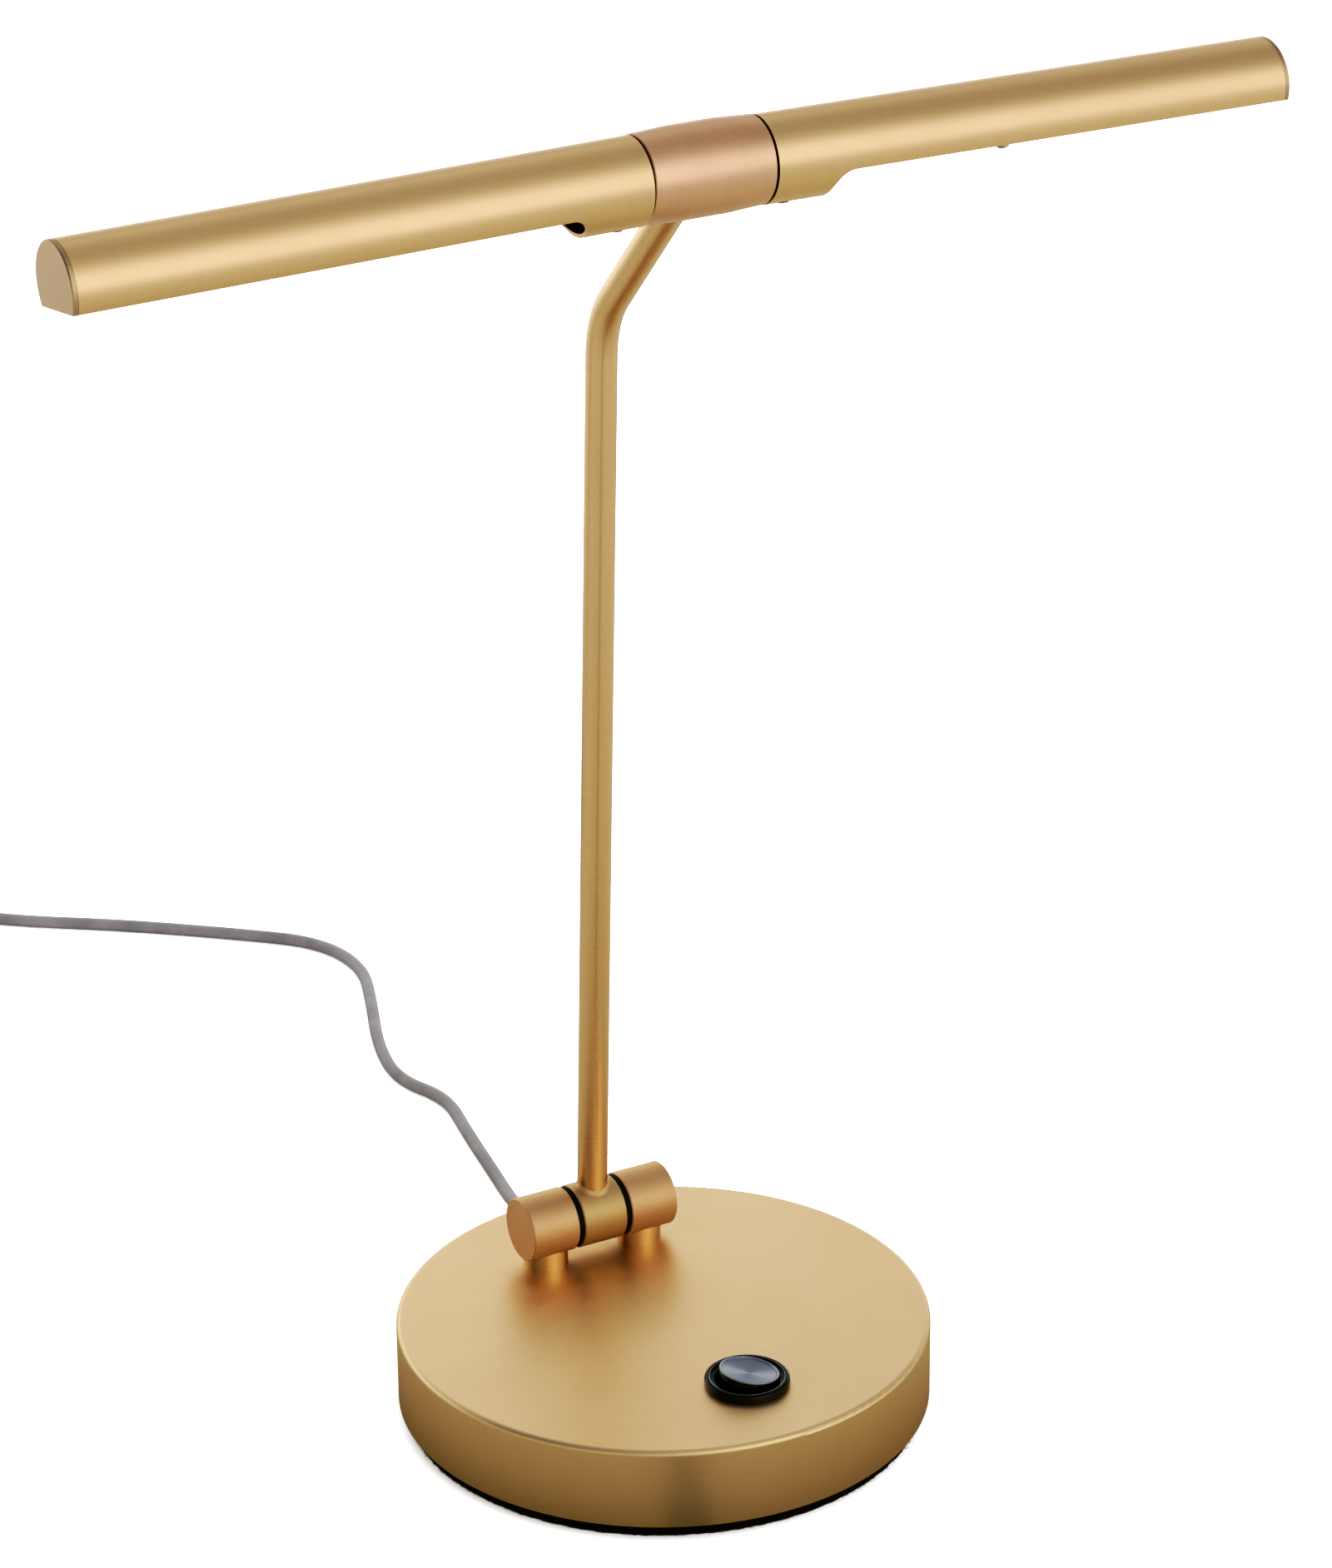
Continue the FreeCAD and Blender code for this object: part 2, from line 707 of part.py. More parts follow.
def terminal_block():
    block = box(-block_length / 2, block_length / 2, block_y - block_width / 2, block_y + block_width / 2,
                block_bottom, block_top)
    for spot in terminal_spots():
        block = block.cut(cylinder(terminal_screw_radius + seat_gap, terminal_screw_depth + seat_gap,
                                   spot, -Z_AXIS))
    return block


def terminal_screws():
    return [cylinder(terminal_screw_radius, terminal_screw_depth, spot, -Z_AXIS) for spot in terminal_spots()]


def base_lead():
    start_y = block_y + block_width / 2 + seat_gap
    end_y = gland_inner_y - seat_gap
    return cylinder(cord_radius, end_y - start_y, V(gland_x, start_y, gland_z), Y_AXIS)


def switch_leads():
    start_y = switch_y + blade_width / 2 + seat_gap
    end_y = block_y - block_width / 2 - seat_gap
    z = base_top - switch_body_depth - blade_height / 2
    return [cylinder(inner_lead_radius, end_y - start_y,
                     V(switch_x + step * blade_spacing, start_y, z), Y_AXIS)
            for step in (-1, 0)]


def riser_lead():
    """From the left nipple's top down into the base, and across to the terminal block's back."""
    top = V(-post_x, hinge_y, hinge_z - axle_radius)
    corner = V(-post_x, hinge_y, riser_z)
    block_back = block_y + block_width / 2 + seat_gap
    landing = V(riser_landing_x, block_back + riser_landing_run, riser_z)
    path, radii = rounded_route([top, corner, landing, V(riser_landing_x, block_back, riser_z)])
    return swept(path, inner_lead_radius, top, Z_AXIS * -1)


# Cord


gland_back_y = math.sqrt(base_radius ** 2 - gland_x ** 2)
gland_inner_y = gland_back_y - shell_wall - gland_inner_length


def cord_gland():
    flange_start = math.sqrt(base_radius ** 2 - (gland_x - gland_flange_radius) ** 2) + seat_gap
    flange_end = flange_start + gland_flange_thickness
    inner_rim = math.sqrt((base_radius - shell_wall) ** 2 - (gland_x + gland_flange_radius) ** 2) - seat_gap
    points = [
        (gland_inner_y, gland_flange_radius), (inner_rim, gland_flange_radius),
        (inner_rim, gland_neck_radius), (flange_start, gland_neck_radius),
        (flange_start, gland_flange_radius), (flange_end, gland_flange_radius),
        (flange_end, relief_root_radius), (relief_tip_y - seat_gap, relief_tip_radius),
    ]
    return spun(points, V(gland_x, 0, gland_z), Y_AXIS)


def rounded_route(points):
    """Straight runs joined by tangent arcs, each as large as its two runs allow."""
    edges = []
    radii = []
    start = points[0]
    for before, corner, after in zip(points, points[1:], points[2:]):
        incoming = (corner - before).normalize()
        outgoing = (after - corner).normalize()
        half_turn = incoming.getAngle(outgoing) / 2
        reach = run_share * min(corner.distanceToPoint(before), corner.distanceToPoint(after))
        radius = reach / math.tan(half_turn)
        arc_start = corner - incoming * reach
        arc_end = corner + outgoing * reach
        inward = (outgoing - incoming).normalize()
        middle = corner + inward * (radius / math.cos(half_turn) - radius)
        edges.append(Part.LineSegment(start, arc_start).toShape())
        edges.append(Part.Arc(arc_start, middle, arc_end).toShape())
        radii.append(radius)
        start = arc_end
    edges.append(Part.LineSegment(start, points[-1]).toShape())
    return Part.Wire(edges), radii


def power_cord():
    path, radii = rounded_route(cord_route)
    print("cord arc radii", [round(radius, 1) for radius in radii])
    tube = swept(path, cord_radius, cord_route[0], Y_AXIS)
    print("cord length", round(path.Length, 1), "volume", round(tube.Volume, 1),
          "section times length", round(math.pi * cord_radius ** 2 * path.Length, 1))
    return tube


def coil_half_turns():
    """Radius and climb of each half turn: in, out, in and out again, climbing where it reverses."""
    inner = coil_outer_radius - coil_half_turns_in_layer * coil_pitch / 2
    outer = coil_outer_radius + coil_pitch / 2
    inward = [coil_outer_radius - number * coil_pitch / 2 for number in range(coil_half_turns_in_layer)]
    half_turns = []
    for layer in range(coil_layers):
        going_in = layer % 2 == 0
        half_turns += [(radius, 0.0) for radius in (inward if going_in else reversed(inward))]
        half_turns.append((inner if going_in else outer, coil_pitch))
    return half_turns[:-2]


def biarc(start, start_direction, end, end_direction):
    """Two tangent arcs for a half turn that climbs."""
    reach = start.distanceToPoint(end) / 2
    control_a = start + start_direction * reach
    control_b = end - end_direction * reach
    joint = (control_a + control_b) * 0.5
    arcs = []
    for first, control, last in ((start, control_a, joint), (joint, control_b, end)):
        chord_middle = (first + last) * 0.5
        half_chord = first.distanceToPoint(last) / 2
        height = control.distanceToPoint(chord_middle)
        radius = half_chord * math.sqrt(half_chord ** 2 + height ** 2) / height
        sagitta = radius - math.sqrt(radius ** 2 - half_chord ** 2)
        middle = chord_middle + (control - chord_middle).normalize() * sagitta
        arcs.append(Part.Arc(first, middle, last).toShape())
    return arcs


def coil_path():
    place = coil_entry + V(-coil_end, 0, 0)
    edges = [Part.LineSegment(coil_entry, place).toShape()]
    heading = V(-1, 0, 0)
    for radius, climb in coil_half_turns():
        side = 1 if heading.x < 0 else -1
        target = place + V(0, 2 * radius * side, climb)
        if climb:
            edges += biarc(place, heading, target, heading * -1)
        else:
            middle = place + V(heading.x * radius, radius * side, 0)
            edges.append(Part.Arc(place, middle, target).toShape())
        place = target
        heading = heading * -1
    last = place + heading * coil_end
    edges.append(Part.LineSegment(place, last).toShape())
    return Part.Wire(edges), last, heading


def least_gap(path):
    """Least distance between parts of the coil that are more than a quarter turn apart, less its diameter."""
    step = cord_radius / 2
    points = path.discretize(Distance=step)
    skip = int(math.pi * coil_outer_radius / 2 / step)
    least = 1e9
    for number, point in enumerate(points):
        for other in points[number + skip:]:
            least = min(least, point.distanceToPoint(other))
    return least - 2 * cord_radius


coil_wire, coil_last, coil_heading = coil_path()


def cord_coil():
    print("coil length", round(coil_wire.Length, 1), "least gap to itself", round(least_gap(coil_wire), 2))
    tube = swept(coil_wire, cord_radius, coil_entry, V(-1, 0, 0))
    print("coil volume", round(tube.Volume, 1),
          "section times length", round(math.pi * cord_radius ** 2 * coil_wire.Length, 1))
    return tube


def adapter_relief():
    start = coil_last + coil_heading * seat_gap
    return spun([(0, adapter_relief_tip_radius), (adapter_relief_length, adapter_relief_root_radius)],
                start, coil_heading)


def adapter_front():
    return coil_last.x + coil_heading.x * (adapter_relief_length + 2 * seat_gap)


def adapter_body():
    near = adapter_front()
    far = near + coil_heading.x * adapter_length
    body = box(min(near, far), max(near, far),
               coil_last.y - adapter_width / 2, coil_last.y + adapter_width / 2, 0, adapter_height)
    upright = [edge for edge in body.Edges if abs(edge.BoundBox.ZLength - adapter_height) < 1e-6]
    return body.makeFillet(adapter_corner, upright)


def adapter_pins():
    near = adapter_front() + coil_heading.x * (adapter_length + seat_gap)
    far = near + coil_heading.x * pin_length
    middle_z = adapter_height / 2
    pins = []
    for side in (-1, 1):
        middle_y = coil_last.y + side * pin_spacing / 2
        pins.append(box(min(near, far), max(near, far),
                        middle_y - pin_thickness / 2, middle_y + pin_thickness / 2,
                        middle_z - pin_width / 2, middle_z + pin_width / 2))
    return pins


def main():
    os.makedirs("parts", exist_ok=True)
    save("base_shell", base_shell())
    save("base_weight", base_weight())
    save("weight_screws", weight_screws())
    save("bottom_plate", bottom_plate())
    save("plate_screws", plate_screws())
    save("felt_pad", felt_pad())
    save("hinge_cheek_left", hinge_cheek(-1))
    save("hinge_cheek_right", hinge_cheek(1))
    save("hinge_posts", hinge_posts())
    save("post_nipples", post_nipples())
    save("nipple_nuts", nipple_nuts())
    save("hinge_axle", hinge_axle())
    save("hinge_knuckle", hinge_knuckle())
    save("hinge_washers", hinge_washers())
    save("arm_tube", arm_tube())
    save("arm_lead", arm_lead())
    save("barrel", barrel())
    for side in ("left", "right"):
        save("shade_tube_" + side, in_half(shade_tube(), side))
        save("end_cap_" + side, in_half(end_cap(), side))
        save("shade_collar_" + side, in_half(shade_collar(), side))
        save("lock_screw_" + side, in_half(lock_screw(), side))
        save("led_channel_" + side, in_half(led_channel(), side))
        save("led_board_" + side, in_half(led_board(), side))
        save("led_chips_" + side, [in_half(chip, side) for chip in led_chips()])
        save("diffuser_" + side, in_half(diffuser(), side))
        save("led_stud_" + side, in_half(led_stud(), side))
        save("stud_spacer_" + side, in_half(stud_spacer(), side))
        save("dome_nut_" + side, in_half(dome_nut(), side))
        save("shade_lead_" + side, in_half(shade_lead(), side))
    save("switch_housing", switch_housing())
    save("switch_rocker", switch_rocker())
    save("switch_blades", switch_blades())
    save("terminal_block", terminal_block())
    save("terminal_screws", terminal_screws())
    save("base_lead", base_lead())
    save("switch_leads", switch_leads())
    save("riser_lead", riser_lead())
    save("cord_gland", cord_gland())
    save("power_cord", power_cord())
    save("cord_coil", cord_coil())
    save("adapter_relief", adapter_relief())
    save("adapter_body", adapter_body())
    save("adapter_pins", adapter_pins())


main()
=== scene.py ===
import math
import random

import bmesh
import bpy
from mathutils import Matrix, Vector, noise


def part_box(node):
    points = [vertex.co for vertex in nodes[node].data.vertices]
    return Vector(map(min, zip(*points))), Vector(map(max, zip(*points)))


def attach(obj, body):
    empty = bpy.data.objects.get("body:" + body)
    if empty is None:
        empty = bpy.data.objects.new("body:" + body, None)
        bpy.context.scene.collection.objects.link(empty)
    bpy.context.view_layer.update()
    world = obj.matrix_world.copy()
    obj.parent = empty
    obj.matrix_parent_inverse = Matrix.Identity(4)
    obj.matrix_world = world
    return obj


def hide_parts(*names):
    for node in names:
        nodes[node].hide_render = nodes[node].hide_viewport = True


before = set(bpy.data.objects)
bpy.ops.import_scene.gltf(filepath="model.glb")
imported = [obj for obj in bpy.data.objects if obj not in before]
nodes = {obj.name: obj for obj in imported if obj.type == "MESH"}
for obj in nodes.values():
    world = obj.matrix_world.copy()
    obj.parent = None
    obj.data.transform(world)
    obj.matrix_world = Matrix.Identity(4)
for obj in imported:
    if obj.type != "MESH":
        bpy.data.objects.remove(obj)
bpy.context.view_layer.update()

# Looks of the piano lamp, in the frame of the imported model: shapes in mm, camera and stage in metres.

MM = 0.001
X_AXIS = (1, 0, 0)
Z_AXIS = (0, 0, 1)
UP = Vector(Z_AXIS)


def new_object(name, data):
    made = bpy.data.objects.new(name, data)
    bpy.context.scene.collection.objects.link(made)
    return made


def outward_at(angle):
    """Unit vector at this angle round the vertical."""
    return Vector((math.cos(angle), math.sin(angle), 0))


# Camera

CAMERA_SPOT = (-0.65025, -1.19852, 0.81532)
CAMERA_AZIMUTH = math.radians(-28.582)
CAMERA_ELEVATION = math.radians(23.975)
CAMERA_ROLL = math.radians(-0.545)
SENSOR = 36
LENS = 116.27


def make_camera():
    """The camera that was fitted to the lamp's outlines."""
    level = math.cos(CAMERA_ELEVATION)
    forward = -Vector((math.sin(CAMERA_AZIMUTH) * level, -math.cos(CAMERA_AZIMUTH) * level,
                       math.sin(CAMERA_ELEVATION)))
    level_right = outward_at(CAMERA_AZIMUTH)
    level_up = level_right.cross(forward)
    right = level_right * math.cos(CAMERA_ROLL) + level_up * math.sin(CAMERA_ROLL)
    up = right.cross(forward)
    data = bpy.data.cameras.new("camera")
    data.sensor_width = SENSOR
    data.lens = LENS
    data.clip_start = 0.05
    data.clip_end = 50
    camera = new_object("camera", data)
    turn = Matrix((right, up, -forward)).transposed().to_4x4()
    camera.matrix_world = Matrix.Translation(CAMERA_SPOT) @ turn
    bpy.context.scene.camera = camera


# Shader helpers


def new_material(name, slot):
    material = bpy.data.materials.new(name)
    material.use_nodes = True
    material["slot"] = slot
    return material, material.node_tree, material.node_tree.nodes["Principled BSDF"]


def blank_material(name):
    """A material of the stage, with nothing in its tree yet."""
    material = bpy.data.materials.new(name)
    material.use_nodes = True
    material.node_tree.nodes.clear()
    return material, material.node_tree


def add(tree, kind, settings=None, **inputs):
    """Adds a node. Settings are attributes; inputs are values or sockets, by name or, as in _0, by index."""
    made = tree.nodes.new("ShaderNode" + kind)
    for key, value in (settings or {}).items():
        setattr(made, key, value)
    for key, value in inputs.items():
        socket = made.inputs[int(key[1:]) if key[0] == "_" else key]
        if isinstance(value, bpy.types.NodeSocket):
            tree.links.new(value, socket)
        else:
            socket.default_value = value
    return made


def place(tree, scale=(1, 1, 1)):
    """Object coordinates, which are the frame's own, stretched by scale."""
    coordinates = add(tree, "TexCoord")
    return add(tree, "Mapping", Vector=coordinates.outputs["Object"], Scale=scale).outputs[0]


def noise_value(tree, vector, scale, detail, roughness):
    texture = add(tree, "TexNoise", Vector=vector, Scale=scale, Detail=detail, Roughness=roughness)
    return texture.outputs[0]


def remap(tree, value, low, high, new_low, new_high):
    node = add(tree, "MapRange", None, Value=value)
    for index, number in enumerate((low, high, new_low, new_high), 1):
        node.inputs[index].default_value = number
    return node.outputs[0]


def mix_colors(tree, factor, first, second):
    """Factor is a socket; each colour is a socket or three numbers."""
    node = add(tree, "Mix", {"data_type": "RGBA"}, _0=factor)
    for index, value in ((6, first), (7, second)):
        if isinstance(value, bpy.types.NodeSocket):
            tree.links.new(value, node.inputs[index])
        else:
            node.inputs[index].default_value = (*value, 1)
    return node.outputs[2]


def give_bump(tree, shader, height, strength, distance):
    bumps = add(tree, "Bump", None, Strength=strength, Distance=distance, Height=height)
    tree.links.new(bumps.outputs[0], shader.inputs["Normal"])


def set_inputs(shader, **values):
    for key, value in values.items():
        shader.inputs[key.replace("_", " ")].default_value = value


# Materials


def brushed_metal(name, slot, color, deep, roughness, grain, tangent=None, anisotropy=0.0, bump=0.08):
    """Satin metal. Grain stretches the noise along X, Y and Z, per metre; tangent runs across the marks."""
    material, tree, shader = new_material(name, slot)
    streaks = noise_value(tree, place(tree, grain), 1.0, 5.0, 0.65)
    patches = noise_value(tree, place(tree), 26.0, 3.0, 0.55)
    tone = mix_colors(tree, remap(tree, streaks, 0.3, 0.72, 0.0, 1.0), deep, color)
    worn = mix_colors(tree, remap(tree, patches, 0.35, 0.75, 0.0, 0.4), tone, deep)
    tree.links.new(worn, shader.inputs["Base Color"])
    rough = add(tree, "Math", {"operation": "ADD"},
                _0=remap(tree, streaks, 0.3, 0.7, roughness - 0.04, roughness + 0.04),
                _1=remap(tree, patches, 0.3, 0.7, -0.02, 0.02))
    tree.links.new(rough.outputs[0], shader.inputs["Roughness"])
    give_bump(tree, shader, streaks, bump, 0.00004)
    set_inputs(shader, Metallic=1.0, Anisotropic=anisotropy)
    if tangent:
        direction = add(tree, "CombineXYZ", None, X=tangent[0], Y=tangent[1], Z=tangent[2])
        tree.links.new(direction.outputs[0], shader.inputs["Tangent"])
    return material


def moulded(name, slot, color, roughness, coat=0.0, grain=900.0, bump=0.05):
    """Plastic or rubber with the fine grain of its mould."""
    material, tree, shader = new_material(name, slot)
    grains = noise_value(tree, place(tree), grain, 3.0, 0.6)
    patches = noise_value(tree, place(tree), 40.0, 2.0, 0.5)
    darker = tuple(part * 0.86 for part in color)
    tree.links.new(mix_colors(tree, remap(tree, patches, 0.35, 0.65, 0, 1), darker, color),
                   shader.inputs["Base Color"])
    rough = remap(tree, grains, 0.3, 0.7, roughness * 0.85, roughness * 1.15)
    tree.links.new(rough, shader.inputs["Roughness"])
    give_bump(tree, shader, grains, bump, 0.0001)
    set_inputs(shader, Coat_Weight=coat, Coat_Roughness=0.06, Specular_IOR_Level=0.5)
    return material


def plain_metal(name, slot, color, roughness):
    material, tree, shader = new_material(name, slot)
    grains = noise_value(tree, place(tree), 500.0, 4.0, 0.6)
    darker = tuple(part * 0.8 for part in color)
    tree.links.new(mix_colors(tree, grains, darker, color), shader.inputs["Base Color"])
    rough = remap(tree, grains, 0.3, 0.7, roughness * 0.7, roughness * 1.3)
    tree.links.new(rough, shader.inputs["Roughness"])
    set_inputs(shader, Metallic=1.0)
    return material


def felt_material():
    material, tree, shader = new_material("felt_brown", "felt")
    fibres = noise_value(tree, place(tree), 1400.0, 6.0, 0.7)
    clumps = noise_value(tree, place(tree), 220.0, 3.0, 0.6)
    both = add(tree, "Math", {"operation": "MULTIPLY"}, _0=fibres, _1=clumps)
    tree.links.new(mix_colors(tree, remap(tree, both.outputs[0], 0.12, 0.42, 0, 1),
                              (0.006, 0.0032, 0.002), (0.05, 0.026, 0.017)), shader.inputs["Base Color"])
    give_bump(tree, shader, fibres, 0.9, 0.0006)
    set_inputs(shader, Roughness=0.95, Sheen_Weight=0.25, Sheen_Roughness=0.6, Specular_IOR_Level=0.1)
    return material


def cord_material():
    material, tree, shader = new_material("cord_grey", "cord_grey")
    grains = noise_value(tree, place(tree), 1600.0, 3.0, 0.6)
    patches = noise_value(tree, place(tree), 60.0, 3.0, 0.55)
    tree.links.new(mix_colors(tree, remap(tree, patches, 0.35, 0.65, 0, 1),
                              (0.48, 0.46, 0.465), (0.60, 0.575, 0.58)), shader.inputs["Base Color"])
    tree.links.new(remap(tree, grains, 0.3, 0.7, 0.38, 0.5), shader.inputs["Roughness"])
    give_bump(tree, shader, grains, 0.12, 0.00008)
    set_inputs(shader, Sheen_Weight=0.1, Specular_IOR_Level=0.5)
    return material


def dish_material():
    """Satin face of the rocker, finely turned, so that light fans out from its middle."""
    material, tree, shader = new_material("rocker_dish", "gloss_black")
    grains = noise_value(tree, place(tree), 2500.0, 3.0, 0.6)
    turned = mix_colors(tree, grains, (0.32, 0.35, 0.39), (0.40, 0.43, 0.475))
    tree.links.new(turned, shader.inputs["Base Color"])
    tree.links.new(remap(tree, grains, 0.3, 0.7, 0.34, 0.42), shader.inputs["Roughness"])
    tangent = add(tree, "Tangent", {"direction_type": "RADIAL", "axis": "Z"})
    tree.links.new(tangent.outputs[0], shader.inputs["Tangent"])
    set_inputs(shader, Metallic=0.9, Anisotropic=0.8, Anisotropic_Rotation=0.25)
    return material


def opal_material():
    material, tree, shader = new_material("opal", "diffuser")
    cloud = noise_value(tree, place(tree), 300.0, 3.0, 0.5)
    milky = mix_colors(tree, cloud, (0.78, 0.77, 0.72), (0.9, 0.89, 0.86))
    tree.links.new(milky, shader.inputs["Base Color"])
    set_inputs(shader, Roughness=0.45, Subsurface_Weight=0.4, Subsurface_Scale=0.002)
    return material


BRASS = (0.86, 0.66, 0.44)
BRASS_DEEP = (0.81, 0.605, 0.385)
ROSE = (0.85, 0.62, 0.46)
ROSE_DEEP = (0.78, 0.545, 0.39)
# BAR and BAR_DEEP: a darker copy of the brass for the hinge bar and weld, painted shade on the bar
BAR = (0.79, 0.615, 0.4)
BAR_DEEP = (0.72, 0.565, 0.34)
# ROSE_BAR and ROSE_BAR_DEEP: a lighter copy of the rose brass for the hinge cheeks, painted light on the
# cheeks
ROSE_BAR = (0.87, 0.665, 0.465)
ROSE_BAR_DEEP = (0.81, 0.6, 0.4)
# BASE and BASE_DEEP: a lighter copy of the brass for the base, painted light matching how brightly its top is
# lit
BASE = (0.9, 0.72, 0.49)
BASE_DEEP = (0.86, 0.675, 0.445)
# CAP and CAP_DEEP: a darker copy of the brass for the shade's end caps, painted shade on the end faces
CAP = (0.62, 0.50, 0.37)
CAP_DEEP = (0.56, 0.43, 0.29)
TURNED = (9000, 90, 90)
ROSE_TURNED = (8000, 70, 70)

shade_brass = brushed_metal("shade_brass", "satin_brass", BRASS, BRASS_DEEP, 0.34,
                            grain=TURNED, tangent=X_AXIS, anisotropy=0.3)
# painted shade: the end caps' brass is a darker copy of the shade's
cap_brass_shaded = brushed_metal("cap_brass_shaded", "satin_brass", CAP, CAP_DEEP, 0.36, grain=(90, 500, 3000), bump=0.04)
arm_brass = brushed_metal("arm_brass", "satin_brass", BRASS, BRASS_DEEP, 0.3,
                          grain=(70, 70, 7000), tangent=Z_AXIS, anisotropy=0.5, bump=0.03)
# painted shade: the bar's brass is a darker copy of the shade's
bar_brass_shaded = brushed_metal("bar_brass_shaded", "satin_brass", BAR, BAR_DEEP, 0.6,
                          grain=TURNED, tangent=X_AXIS, anisotropy=0.3, bump=0.05)
# painted light: the base's brass is a lighter copy of the shade's
base_brass_lit = brushed_metal("base_brass_lit", "satin_brass", BASE, BASE_DEEP, 0.42,
                           grain=(160, 160, 6000), bump=0.03)
rose_brass = brushed_metal("rose_brass", "rose_brass", ROSE, ROSE_DEEP, 0.36,
                           grain=ROSE_TURNED, tangent=X_AXIS, anisotropy=0.3)
# painted light: the cheeks' rose brass is a lighter copy of the barrel's
rose_bar_lit = brushed_metal("rose_bar_lit", "rose_brass", ROSE_BAR, ROSE_BAR_DEEP, 0.62,
                         grain=ROSE_TURNED, tangent=X_AXIS, anisotropy=0.3, bump=0.05)
steel = plain_metal("steel", "steel", (0.6, 0.6, 0.61), 0.35)
dark_steel = plain_metal("dark_steel", "steel", (0.22, 0.2, 0.18), 0.35)
iron = plain_metal("iron", "iron", (0.2, 0.2, 0.21), 0.6)
aluminium = brushed_metal("aluminium", "aluminium", (0.76, 0.76, 0.77), (0.62, 0.62, 0.63), 0.38,
                          grain=(60, 1500, 1500))
chrome = plain_metal("chrome", "chrome", (0.72, 0.72, 0.74), 0.12)
black = moulded("black_plastic", "black_plastic", (0.012, 0.012, 0.012), 0.5)
gloss = moulded("gloss_black", "gloss_black", (0.003, 0.003, 0.004), 0.12, coat=0.7, grain=700.0, bump=0.01)
board = moulded("white_board", "board", (0.82, 0.82, 0.8), 0.45)
phosphor = moulded("phosphor", "chip", (0.85, 0.62, 0.12), 0.3)
white = moulded("white_plastic", "white_plastic", (0.8, 0.8, 0.78), 0.4)
sheath = moulded("lead_sheath", "lead_sheath", (0.7, 0.69, 0.67), 0.45)
# pale grey metal for the thin rings round the switch: painted highlights on polished edges
painted_highlight_line = plain_metal("painted_highlight_line", "chrome", (0.66, 0.68, 0.7), 0.4)
felt = felt_material()
cord_grey = cord_material()
opal = opal_material()
dish = dish_material()

nodes_by_finish = (
    (base_brass_lit, ["base_shell"]),
    (bar_brass_shaded, ["hinge_knuckle"]),
    (arm_brass, ["arm_tube", "hinge_posts"]),
    (rose_brass, ["barrel"]),
    (rose_bar_lit, ["hinge_cheek_left", "hinge_cheek_right"]),
    (steel, ["weight_screws", "plate_screws", "post_nipples", "nipple_nuts", "hinge_axle", "switch_blades",
             "terminal_screws", "adapter_pins"]),
    (iron, ["base_weight"]),
    (black, ["bottom_plate", "hinge_washers", "cord_gland", "adapter_relief", "adapter_body"]),
    (gloss, ["switch_housing", "switch_rocker"]),
    (white, ["terminal_block"]),
    (sheath, ["arm_lead", "base_lead", "switch_leads", "riser_lead"]),
    (felt, ["felt_pad"]),
    (cord_grey, ["power_cord", "cord_coil"]),
)
shade_parts_by_finish = (
    (shade_brass, ["shade_tube"]),
    (cap_brass_shaded, ["end_cap"]),
    (aluminium, ["shade_collar", "led_channel", "stud_spacer"]),
    (dark_steel, ["lock_screw"]),
    (steel, ["led_stud"]),
    (chrome, ["dome_nut"]),
    (board, ["led_board"]),
    (phosphor, ["led_chips"]),
    (opal, ["diffuser"]),
    (sheath, ["shade_lead"]),
)
finish_of = {}
for material, names in nodes_by_finish:
    finish_of.update(dict.fromkeys(names, material))
for material, parts in shade_parts_by_finish:
    finish_of.update(dict.fromkeys([part + side for part in parts for side in ("_left", "_right")], material))

for name, node in nodes.items():
    node.data.materials.clear()
    node.data.materials.append(finish_of[name])


# Mesh helpers

MERGE = 0.004 * MM      # points nearer than this become one
AXIS_RADIUS = 0.001     # mm, of the ring that stands for a point on a lathe's axis until it is merged
AXIS_TURNS = {"Z": Matrix.Identity(3), "Y": Matrix.Rotation(-math.pi / 2, 3, "X"),
              "-X": Matrix.Rotation(-math.pi / 2, 3, "Y")}


def finish_piece(name, mesh, material, body, stands_for=(), sharp=35):
    mesh.shade_smooth()
    mesh.set_sharp_from_angle(angle=math.radians(sharp))
    mesh.materials.append(material)
    piece = new_object(name, mesh)
    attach(piece, body)
    if stands_for:
        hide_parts(*stands_for)
    return piece


def loop_mesh(name, loops, closed=False):
    """Joins equal loops into a skin; closed joins the last to the first, else both ends are capped."""
    work = bmesh.new()
    rings = [[work.verts.new(point) for point in loop] for loop in loops]
    count = len(rings[0])
    pairs = list(zip(rings, rings[1:]))
    if closed:
        pairs.append((rings[-1], rings[0]))
    for first, second in pairs:
        for index in range(count):
            following = (index + 1) % count
            work.faces.new((first[index], first[following], second[following], second[index]))
    if not closed:
        work.faces.new(rings[0])
        work.faces.new(rings[-1])
    bmesh.ops.remove_doubles(work, verts=work.verts, dist=MERGE)
    bmesh.ops.delete(work, geom=[edge for edge in work.edges if not edge.link_faces], context="EDGES")
    bmesh.ops.recalc_face_normals(work, faces=work.faces)
    mesh = bpy.data.meshes.new(name)
    work.to_mesh(mesh)
    work.free()
    return mesh


def softened(corners, steps=5):
    """A profile's corners (radius, height, fillet) as points, with an arc where the fillet isn't 0."""
    points = []
    for index, (r, h, fillet) in enumerate(corners):
        here = Vector((r, h))
        if not fillet:
            points.append(here)
            continue
        before = (Vector(corners[index - 1][:2]) - here).normalized()
        after = (Vector(corners[(index + 1) % len(corners)][:2]) - here).normalized()
        half = before.angle(after) / 2
        reach = fillet / math.tan(half)
        middle = here + (before + after).normalized() * fillet / math.sin(half)
        first = here + before * reach - middle
        last = here + after * reach - middle
        sweep = first.angle_signed(last)
        points += [middle + Matrix.Rotation(-sweep * step / steps, 2) @ first for step in range(steps + 1)]
    return points


